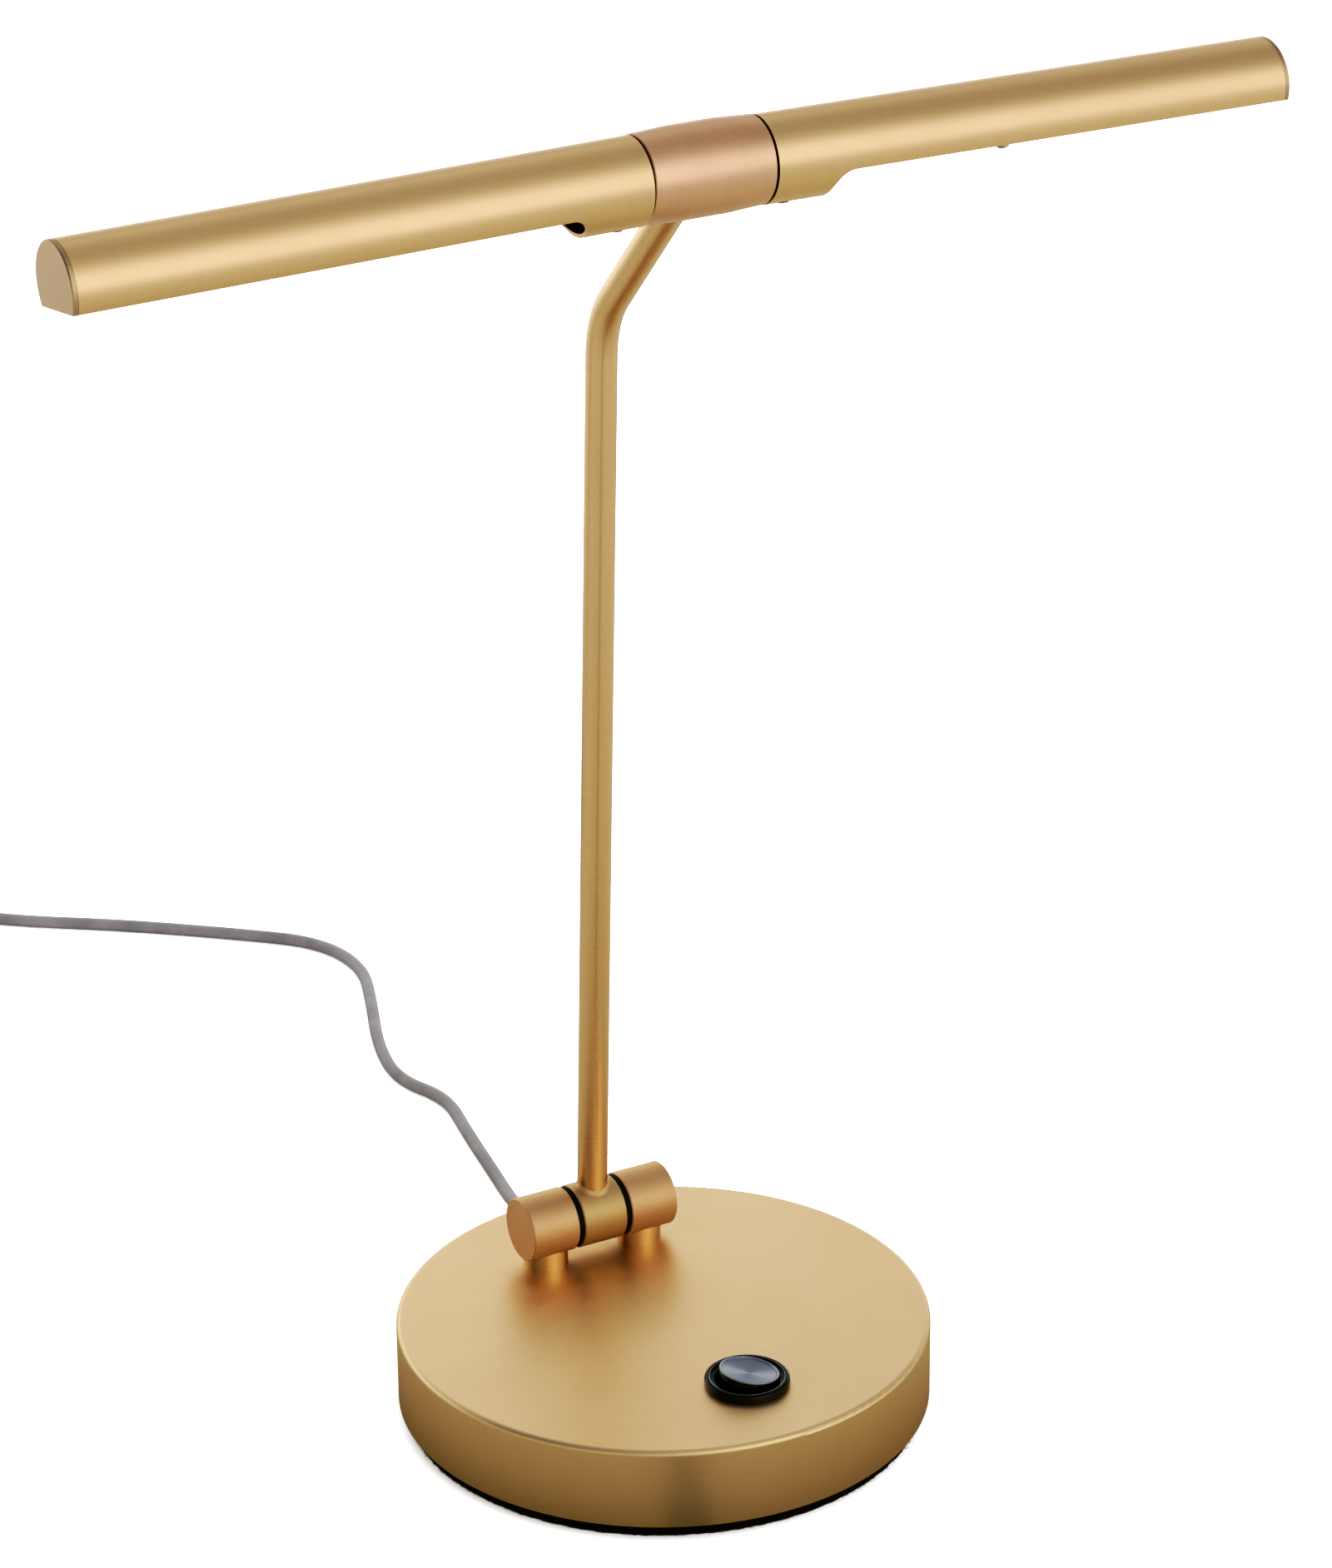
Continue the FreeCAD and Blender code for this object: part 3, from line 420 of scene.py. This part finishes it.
def lathe(name, corners, foot, axis="Z", segments=160):
    """Turns a profile (radius, height, fillet) in mm round an axis through foot; radius 0 closes it."""
    turn = AXIS_TURNS[axis]
    points = softened(corners)
    loops = []
    for number in range(segments):
        outward = outward_at(2 * math.pi * number / segments)
        loops.append([Vector(foot) * MM + turn @ (outward * max(point.x, AXIS_RADIUS) + UP * point.y) * MM
                      for point in points])
    return loop_mesh(name, loops, closed=True)


# Switch, with profiles whose corners are radius, height and fillet

SWITCH = (1.6, -49.6, 0.0)
BASE_TOP = 30.4
ROCKER_TILT = math.radians(9.3)
ROCKER_PIVOT = Vector((SWITCH[0], SWITCH[1], 30.0)) * MM
ROCKER_TURN = (Matrix.Translation(ROCKER_PIVOT) @ Matrix.Rotation(ROCKER_TILT, 4, "Y")
               @ Matrix.Translation(-ROCKER_PIVOT))
BEZEL = [(0, 16.4, 0), (11, 16.4, 0.5), (11, BASE_TOP + 0.02, 0), (13, BASE_TOP + 0.02, 0.1), (13, 33, 1.1),
         (11.3, 33, 0.5), (11.3, 32.0, 0.2), (9.9, 32.0, 0.15), (9.9, 18, 0), (0, 18, 0)]
BUTTON = [(0, 28.6, 0), (9.2, 28.6, 0.3), (9.2, 34.2, 0.15), (8.9, 34.2, 0), (8.9, 33.0, 0), (0, 33.0, 0)]
FACE = [(0, 33.05, 0), (8.85, 33.05, 0), (8.85, 34.25, 0), (9.15, 34.25, 0), (9.15, 34.6, 0.25),
        (8.45, 34.6, 0.12), (8.2, 34.3, 0.06), (6.6, 34.04, 0), (5.0, 33.82, 0), (3.2, 33.65, 0),
        (1.5, 33.55, 0), (0, 33.52, 0)]
RING_POINTS = 144
RING_SIDES = 8


def make_switch():
    """The bezel with its rolled lip, the rocker's skirt, and the turned face and rim set in it."""
    finish_piece("switch_bezel", lathe("switch_bezel", BEZEL, SWITCH), gloss, "base", ["switch_housing"], 60)
    for name, profile, material, stands_for in (("rocker_button", BUTTON, gloss, ["switch_rocker"]),
                                                ("rocker_face", FACE, dish, ())):
        mesh = lathe(name, profile, SWITCH)
        mesh.transform(ROCKER_TURN)
        finish_piece(name, mesh, material, "switch_rocker", stands_for, 50)


def painted_highlight_ring(name, radius, height, thickness, body, move):
    """A thin pale ring round the switch: a painted highlight, the line that a polished edge would show."""
    loops = []
    for number in range(RING_POINTS):
        outward = outward_at(2 * math.pi * number / RING_POINTS)
        loop = []
        for side in range(RING_SIDES):
            turn = 2 * math.pi * side / RING_SIDES
            reach = radius + thickness * math.cos(turn)
            rise = height + thickness * math.sin(turn)
            loop.append(move @ ((Vector(SWITCH) + outward * reach + UP * rise) * MM))
        loops.append(loop)
    finish_piece(name, loop_mesh(name, loops, closed=True), painted_highlight_line, body, (), 60)


def make_painted_highlights():
    # two painted highlights: the bright lines of the bezel's lip and of the rocker's rim
    painted_highlight_ring("bezel_painted_highlight", radius=11.42, height=32.86, thickness=0.1,
              body="base", move=Matrix.Identity(4))
    painted_highlight_ring("rocker_painted_highlight", radius=9.06, height=34.52, thickness=0.09,
              body="switch_rocker", move=ROCKER_TURN)


# Weld at the arm's root

HINGE = Vector((0, 46.5, 43.8))
BAR_RADIUS = 10.1
ARM_RADIUS = 4.75
ARM_LEAN = math.radians(2.95)
WELD = 1.0              # width of the fillet
WELD_WAVER = 0.3        # share by which that width varies
WELD_HOLLOW = 0.22      # share of the width by which the curve's middle point is out of the corner
WELD_STEPS = 6
WELD_ANGLES = 96


def bar_height(radius, angle):
    """Height of the bar's surface over its axis at a point round the arm."""
    return math.sqrt(BAR_RADIUS ** 2 - (radius * math.sin(angle)) ** 2)


def make_weld():
    """A small hollow fillet round the arm where it stands on the bar, a little uneven as a weld is."""
    along = Vector((0, -math.sin(ARM_LEAN), math.cos(ARM_LEAN)))
    across = along.cross(Vector(X_AXIS))
    loops = []
    for number in range(WELD_ANGLES):
        angle = 2 * math.pi * number / WELD_ANGLES
        outward = Vector(X_AXIS) * math.cos(angle) + across * math.sin(angle)
        size = WELD * (1 + WELD_WAVER * noise.noise(outward * 4.0))
        root = bar_height(ARM_RADIUS, angle)
        top = (ARM_RADIUS - 0.02, root + size)
        rim = (ARM_RADIUS + size, bar_height(ARM_RADIUS + size, angle) - 0.02)
        hollow = (ARM_RADIUS + WELD_HOLLOW * size, root + WELD_HOLLOW * size)
        profile = []
        for step in range(WELD_STEPS + 1):
            share = step / WELD_STEPS
            profile.append(tuple((1 - share) ** 2 * a + 2 * share * (1 - share) * b + share ** 2 * c
                                 for a, b, c in zip(top, hollow, rim)))
        profile.append((ARM_RADIUS - 0.3, root - 0.4))
        loops.append([(HINGE + along * h + outward * r) * MM for r, h in profile])
    finish_piece("arm_weld", loop_mesh("arm_weld", loops, closed=True), bar_brass_shaded, "arm", (), 60)


# Felt under the base

FELT_RADIUS = 80.2
FELT_PROFILE = (        # radius, height
    (0.01, 0), (79.3, 0.02), (80.0, 0.35), (FELT_RADIUS, 1.0), (80.15, 1.7), (79.9, 2.2), (79.2, 2.5),
    (0.01, 2.5))
FELT_EDGE_FROM = 79.5   # beyond this radius the edge wavers
FELT_WAVER = 0.35
FELT_ANGLES = 540
FIBRES = 1500
FIBRE_SEED = 7
FIBRE_RINGS = ((0, 0.06), (0.5, 0.05), (1, 0.015))   # share of its length, radius there
FIBRE_LOWEST = 0.1


def make_felt_disc():
    """A cut disc with an uneven edge."""
    loops = []
    for number in range(FELT_ANGLES):
        outward = outward_at(2 * math.pi * number / FELT_ANGLES)
        loop = []
        for r, z in FELT_PROFILE:
            rough = FELT_WAVER * noise.noise(outward * 40 + UP * z) if FELT_EDGE_FROM < r else 0
            loop.append((outward * (r + rough) + UP * z) * MM)
        loops.append(loop)
    finish_piece("felt_disc", loop_mesh("felt_disc", loops, closed=True), felt, "base", ["felt_pad"], 80)


def fibre_points(draw):
    """The three small triangles along one loose fibre, which stands out of the felt's edge."""
    outward = outward_at(draw.uniform(0, 2 * math.pi))
    along = UP.cross(outward)
    root = outward * (FELT_RADIUS - 0.4) + UP * draw.uniform(0.15, 2.3)
    bend = outward * draw.uniform(0.5, 1.0) + along * draw.uniform(-0.5, 0.5)
    reach = bend * draw.uniform(0.9, 1.6) + UP * draw.uniform(-0.6, 0.3)
    points = []
    for share, width in FIBRE_RINGS:
        spot = root + reach * share + along * 0.15 * math.sin(share * 3.0)
        spot.z = max(spot.z, FIBRE_LOWEST)
        for turn in range(3):
            side = 2 * math.pi * turn / 3
            points.append((spot + (along * math.cos(side) + UP * math.sin(side)) * width) * MM)
    return points


def make_felt_fibres():
    draw = random.Random(FIBRE_SEED)
    points = []
    faces = []
    for _ in range(FIBRES):
        start = len(points)
        points += fibre_points(draw)
        for ring in (start, start + 3):
            for turn in range(3):
                following = (turn + 1) % 3
                faces.append((ring + turn, ring + following, ring + 3 + following, ring + 3 + turn))
        faces.append((start + 2, start + 1, start))
        faces.append((start + 6, start + 7, start + 8))
    mesh = bpy.data.meshes.new("felt_fibres")
    mesh.from_pydata(points, [], faces)
    finish_piece("felt_fibres", mesh, felt, "base", (), 80)


# Cord

CORD_RADIUS = 2.2 * MM
LIE = 2.25              # height of its centre where it lies on the table
ROUTE = [(8, 105, 11), (8, 117, 11), (14.5, 134, 3.6), (19.2, 156, LIE), (24, 184, LIE), (29.5, 210, LIE),
         (20.5, 231, LIE), (26, 258, LIE), (39, 290, LIE), (49, 318, LIE), (44, 345, LIE), (20, 367, LIE),
         (-13, 394.5, LIE), (-46, 417.5, LIE), (-66, 437, LIE), (-90.6, 437, LIE)]
COIL_START = (-95.0, 437.0)
COIL_PITCH = 5.0        # from one layer to the next
HALF_TURNS = [27.5, 25, 22.5, 20, 17.5, 20, 22.5, 25, 27.5, 30, 27.5, 25, 22.5, 20, 17.5, 20, 22.5, 25]
CLIMBING = (4, 9, 14)   # the half turns that rise to the next layer
POINTS_PER_HALF = 6
COIL_TO_ADAPTER = 4.4   # straight cord between the coil and the adapter's relief


def coil_points():
    """Control points of the coil's half turns, each round the middle of its own ends, and the coil's end."""
    points = []
    x, y = COIL_START
    z = LIE
    heading = -1
    step = math.pi / POINTS_PER_HALF
    for number, radius in enumerate(HALF_TURNS):
        climb = COIL_PITCH if number in CLIMBING else 0.0
        toward = -heading
        reach = radius / math.cos(step / 2)
        for index in range(POINTS_PER_HALF):
            angle = (index + 0.5) * step
            points.append((x + heading * reach * math.sin(angle),
                           y + toward * (radius - reach * math.cos(angle)),
                           z + climb * (index + 0.5) / POINTS_PER_HALF))
        y += toward * 2 * radius
        z += climb
        heading = -heading
    return points, (x, y, z)


def make_cord(far_pieces):
    turns, (end_x, end_y, end_z) = coil_points()
    points = ROUTE + turns + [(end_x, end_y, end_z), (end_x - COIL_TO_ADAPTER, end_y, end_z)]
    data = bpy.data.curves.new("cord", "CURVE")
    data.dimensions = "3D"
    spline = data.splines.new("NURBS")
    spline.points.add(len(points) - 1)
    for point, (x, y, z) in zip(spline.points, points):
        point.co = (x * MM, y * MM, z * MM, 1)
    spline.order_u = 3
    spline.use_endpoint_u = True
    spline.resolution_u = 8
    data.bevel_depth = CORD_RADIUS
    data.bevel_resolution = 6
    data.use_fill_caps = True
    data.materials.append(cord_grey)
    cord = new_object("cord", data)
    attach(cord, "base")
    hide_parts("power_cord", "cord_coil")


# Cord ends

RIB_GAP_DEPTH = 0.75
RIB_SPAN = (0.1, 0.68)  # where a rib starts and ends, as shares of the pitch
RIB_FILLETS = (0.15, 0.25)
GAP_SPAN = (0.72, 1.06)
GLAND_FOOT = (8, 0, 11)
GLAND_BODY = [(0, 76.0, 0), (4.0, 76.0, 0), (4.0, 82.2, 0), (5.2, 82.2, 0), (5.2, 84.6, 0.5)]
CASE_STATIONS = (       # distance along the case, and its inset there
    (0, 2.4), (0.35, 1.3), (1.0, 0.45), (2.2, 0), (18.9, 0), (19.2, 0.35), (20.2, 0.35), (20.5, 0),
    (37.6, 0), (39.0, 0.45), (39.65, 1.3), (40.0, 2.4))
CASE_CORNER = 3.2


def ribbed_relief(start, root, tip, length, ribs):
    """Profile of a moulded strain relief: rings with a gap between them, from radius root to radius tip."""
    corners = []
    pitch = length / ribs
    for rib in range(ribs):
        here = start + rib * pitch
        radius = root + (tip - root) * rib / (ribs - 1)
        corners += [(radius, here + share * pitch, fillet) for share, fillet in zip(RIB_SPAN, RIB_FILLETS)]
        if rib < ribs - 1:
            corners += [(radius - RIB_GAP_DEPTH, here + share * pitch, 0) for share in GAP_SPAN]
    return corners


def make_gland():
    profile = GLAND_BODY + ribbed_relief(start=84.6, root=4.2, tip=2.9, length=20.4, ribs=8) + [(0, 104.8, 0)]
    mesh = lathe("gland_ribbed", profile, GLAND_FOOT, "Y", 64)
    finish_piece("gland_ribbed", mesh, black, "base", ["cord_gland"])


def rounded_rectangle(half_y, half_z, corner, steps=6):
    points = []
    for quarter, (side_y, side_z) in enumerate(((1, 1), (-1, 1), (-1, -1), (1, -1))):
        for step in range(steps + 1):
            angle = math.pi / 2 * (quarter + step / steps)
            points.append((side_y * (half_y - corner) + corner * math.cos(angle),
                           side_z * (half_z - corner) + corner * math.sin(angle)))
    return points


def make_adapter():
    """The plug-in adapter: a soft-edged case with its parting groove, and the ribbed relief of its lead."""
    _, (end_x, end_y, end_z) = coil_points()
    foot = (end_x - COIL_TO_ADAPTER, end_y, end_z)
    ribs = ribbed_relief(start=0, root=2.75, tip=4.3, length=24.6, ribs=9)
    profile = [(0, 0, 0), *ribs, (4.4, 25.1, 0), (0, 25.1, 0)]
    relief = lathe("adapter_relief_ribbed", profile, foot, "-X", 64)
    relief = finish_piece("adapter_relief_ribbed", relief, black, "base", ["adapter_relief"])
    case_low, case_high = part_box("adapter_body")
    middle = (case_low + case_high) / 2
    half_y, half_z = ((case_high - case_low) / 2).yz
    loops = []
    for x, inset in CASE_STATIONS:
        outline = rounded_rectangle(half_y / MM - inset, half_z / MM - inset, CASE_CORNER)
        loops.append([Vector((case_high.x - x * MM, middle.y + y * MM, middle.z + z * MM))
                      for y, z in outline])
    case = finish_piece("adapter_case", loop_mesh("adapter_case", loops), black, "base", ["adapter_body"], 50)
    return [relief, case, nodes["adapter_pins"]]


# Stage and light

PAPER_WHITE = 3.5
FLOOR_HALF = 6.0
FLOOR_DROP = 0.0001     # so that the felt doesn't share its plane
FLOOR_SHADE_REACH = 4.0
FLOOR_SHADE_TONES = (         # metres from the middle of the base, and the floor's tone there in mirror images: painted shade and painted bounce light, darker and warmer close to the base
    (0.085, 0.36, 0.335, 0.25), (0.13, 0.6, 0.575, 0.47), (0.3, 0.74, 0.72, 0.63), (0.5, 0.8, 0.79, 0.74),
    (0.9, 0.84, 0.84, 0.82), (1.4, 0.88, 0.88, 0.87), (2.5, 0.97, 0.97, 0.97))
# painted shade: the floor behind the lamp is darker in mirror images
REAR_SHADE_TONE = (0.64, 0.63, 0.62)
REAR_SHADE_FROM = 0.12
REAR_SHADE_FULL = 0.35
# a painted shadow: a narrow darker strip on the floor in front, seen only in mirror images
SHADOW_STRIP_BEARING = math.radians(-23)
SHADOW_STRIP_HALF_WIDTH = math.radians(5)
FLOOR_GAIN = 1.4
SHADOW_STRIP_GAIN = 0.92
TOP_LEVEL = 1.25
WORLD_LEVELS = (        # degrees up from the front horizon, over the top to the rear one, and the level there
    (0, 1.15), (12, 1.24), (32, 1.22), (46, 0.9), (60, 0.62), (80, 0.53), (100, 0.52),
    (125, 0.64), (142, 0.82), (158, 0.95), (180, 0.9))
LEFT_DIMMEST = -0.5     # X of a direction, as LEFT_FULL, RIGHT_FULL and RIGHT_DIMMEST are
LEFT_FULL = 0.15
LEFT_SHARE = 0.45
RIGHT_FULL = 0.42
RIGHT_DIMMEST = 0.6
RIGHT_SHARE = 0.8
BACKDROP_Y = 1
BACKDROP_X = (-2, 3)
BACKDROP_TOP = 1.3
BACKDROP_LEVELS = (     # height in metres, and the level there
    (0, 0.86), (0.42, 1.3), (0.52, 1.18), (0.6, 0.88), (0.7, 0.66), (0.82, 0.56), (1.0, 0.62), (1.3, 0.58))
CONTRAST = ((0.08, 0.014), (0.15, 0.05), (0.235, 0.122), (0.35, 0.288), (0.5, 0.49), (0.75, 0.77))
BLUE = ((0.02, 0.008), (0.05, 0.037), (0.12, 0.118), (0.5, 0.5))


def fill_ramp(ramp, stops):
    while len(ramp.elements) < len(stops):
        ramp.elements.new(0.5)
    for element, (position, color) in zip(ramp.elements, stops):
        element.position = position
        element.color = (*color, 1)


def negative(tree, value):
    return add(tree, "Math", {"operation": "MULTIPLY"}, _0=value, _1=-1.0).outputs[0]


def angle_of(tree, rise, run):
    return add(tree, "Math", {"operation": "ARCTAN2"}, _0=rise, _1=run).outputs[0]


def two_faced(tree, seen, mirrored):
    """Camera rays meet the first shader, and light and mirror rays the second."""
    path = add(tree, "LightPath")
    both = add(tree, "MixShader", None, _0=path.outputs["Is Camera Ray"], _1=mirrored.outputs[0],
               _2=seen.outputs[0])
    return both.outputs[0]


def make_floor():
    """White to the camera; what the lamp mirrors has painted shade: darker and warmer close by, darker
    behind, and a painted shadow strip in front.
    """
    mesh = bpy.data.meshes.new("floor")
    half = FLOOR_HALF
    corners = [(-half, -half, 0), (half, -half, 0), (half, half, 0), (-half, half, 0)]
    mesh.from_pydata(corners, [], [(0, 1, 2, 3)])
    floor = new_object("floor", mesh)
    floor.location.z = -FLOOR_DROP
    material, tree = blank_material("floor_white_painted_shade")
    coordinates = add(tree, "TexCoord").outputs["Object"]
    parts = add(tree, "SeparateXYZ", None, Vector=coordinates)
    away = add(tree, "VectorMath", {"operation": "LENGTH"}, _0=coordinates).outputs["Value"]
    # painted shade round the base: mirror tones darker and warmer towards the lamp
    ring = add(tree, "ValToRGB", None, Fac=remap(tree, away, 0.0, FLOOR_SHADE_REACH, 0.0, 1.0))
    fill_ramp(ring.color_ramp, [(distance / FLOOR_SHADE_REACH, color) for distance, *color in FLOOR_SHADE_TONES])
    # painted shade: the floor behind the lamp mirrors darker
    rear = mix_colors(tree, remap(tree, parts.outputs["Y"], REAR_SHADE_FROM, REAR_SHADE_FULL, 0.0, 1.0), ring.outputs[0],
                      REAR_SHADE_TONE)
    # painted shadow: the floor is darker along one bearing in front
    bearing = angle_of(tree, parts.outputs["X"], negative(tree, parts.outputs["Y"]))
    on_shadow_strip = add(tree, "Math", {"operation": "COMPARE"}, _0=bearing, _1=SHADOW_STRIP_BEARING, _2=SHADOW_STRIP_HALF_WIDTH)
    gain = remap(tree, on_shadow_strip.outputs[0], 0.0, 1.0, FLOOR_GAIN, SHADOW_STRIP_GAIN)
    bright = add(tree, "VectorMath", {"operation": "SCALE"}, _0=rear)
    tree.links.new(gain, bright.inputs["Scale"])
    paper = add(tree, "BsdfDiffuse", None, Color=(PAPER_WHITE, PAPER_WHITE, PAPER_WHITE, 1))
    shaded_sheet = add(tree, "BsdfDiffuse", None, Color=bright.outputs[0])
    add(tree, "OutputMaterial", None, Surface=two_faced(tree, paper, shaded_sheet))
    mesh.materials.append(material)


def make_light():
    """A studio all round: brightest in front near the horizon, dimmer overhead and towards both sides."""
    world = bpy.data.worlds.new("studio")
    bpy.context.scene.world = world
    world.use_nodes = True
    tree = world.node_tree
    tree.nodes.clear()
    parts = add(tree, "SeparateXYZ", None, Vector=add(tree, "TexCoord").outputs["Generated"])
    angle = angle_of(tree, parts.outputs["Z"], negative(tree, parts.outputs["Y"]))
    ramp = add(tree, "ValToRGB", None, Fac=remap(tree, angle, 0.0, math.pi, 0.0, 1.0))
    ramp.color_ramp.interpolation = "B_SPLINE"
    fill_ramp(ramp.color_ramp, [(degrees / 180, [level / TOP_LEVEL] * 3) for degrees, level in WORLD_LEVELS])
    left = remap(tree, parts.outputs["X"], LEFT_DIMMEST, LEFT_FULL, LEFT_SHARE * TOP_LEVEL, TOP_LEVEL)
    right = remap(tree, parts.outputs["X"], RIGHT_FULL, RIGHT_DIMMEST, 1.0, RIGHT_SHARE)
    strength = add(tree, "Math", {"operation": "MULTIPLY"}, _0=left, _1=right).outputs[0]
    studio = add(tree, "Background", None, Color=ramp.outputs[0], Strength=strength)
    sky = add(tree, "Background", None, Color=(1, 1, 1, 1), Strength=PAPER_WHITE)
    add(tree, "OutputWorld", None, Surface=two_faced(tree, sky, studio))


def make_backdrop():
    """A pale screen behind, brightest near the shade's height; only mirror images show it."""
    left, right = BACKDROP_X
    mesh = bpy.data.meshes.new("backdrop")
    mesh.from_pydata([(left, BACKDROP_Y, 0), (right, BACKDROP_Y, 0), (right, BACKDROP_Y, BACKDROP_TOP),
                      (left, BACKDROP_Y, BACKDROP_TOP)], [], [(0, 1, 2, 3)])
    screen = new_object("backdrop", mesh)
    screen.visible_camera = False
    material, tree = blank_material("backdrop_glow")
    parts = add(tree, "SeparateXYZ", None, Vector=add(tree, "TexCoord").outputs["Object"])
    ramp = add(tree, "ValToRGB", None, Fac=remap(tree, parts.outputs["Z"], 0.0, BACKDROP_TOP, 0.0, 1.0))
    fill_ramp(ramp.color_ramp, [(height / BACKDROP_TOP, [level] * 3) for height, level in BACKDROP_LEVELS])
    glow = add(tree, "Emission", None, Color=ramp.outputs[0], Strength=1.0)
    add(tree, "OutputMaterial", None, Surface=glow.outputs[0])
    mesh.materials.append(material)


def set_tone():
    """A photograph's contrast: deeper darks, full whites and less blue in the darks."""
    view = bpy.context.scene.view_settings
    view.view_transform = "Standard"
    view.look = "None"
    view.use_curve_mapping = True
    for curve, points in ((view.curve_mapping.curves[3], CONTRAST), (view.curve_mapping.curves[2], BLUE)):
        for x, y in points:
            curve.points.new(x, y)
    view.curve_mapping.update()


make_camera()
make_cord(make_adapter())
make_gland()
make_switch()
make_painted_highlights()
make_weld()
make_felt_disc()
make_felt_fibres()
make_floor()
make_light()
make_backdrop()
set_tone()
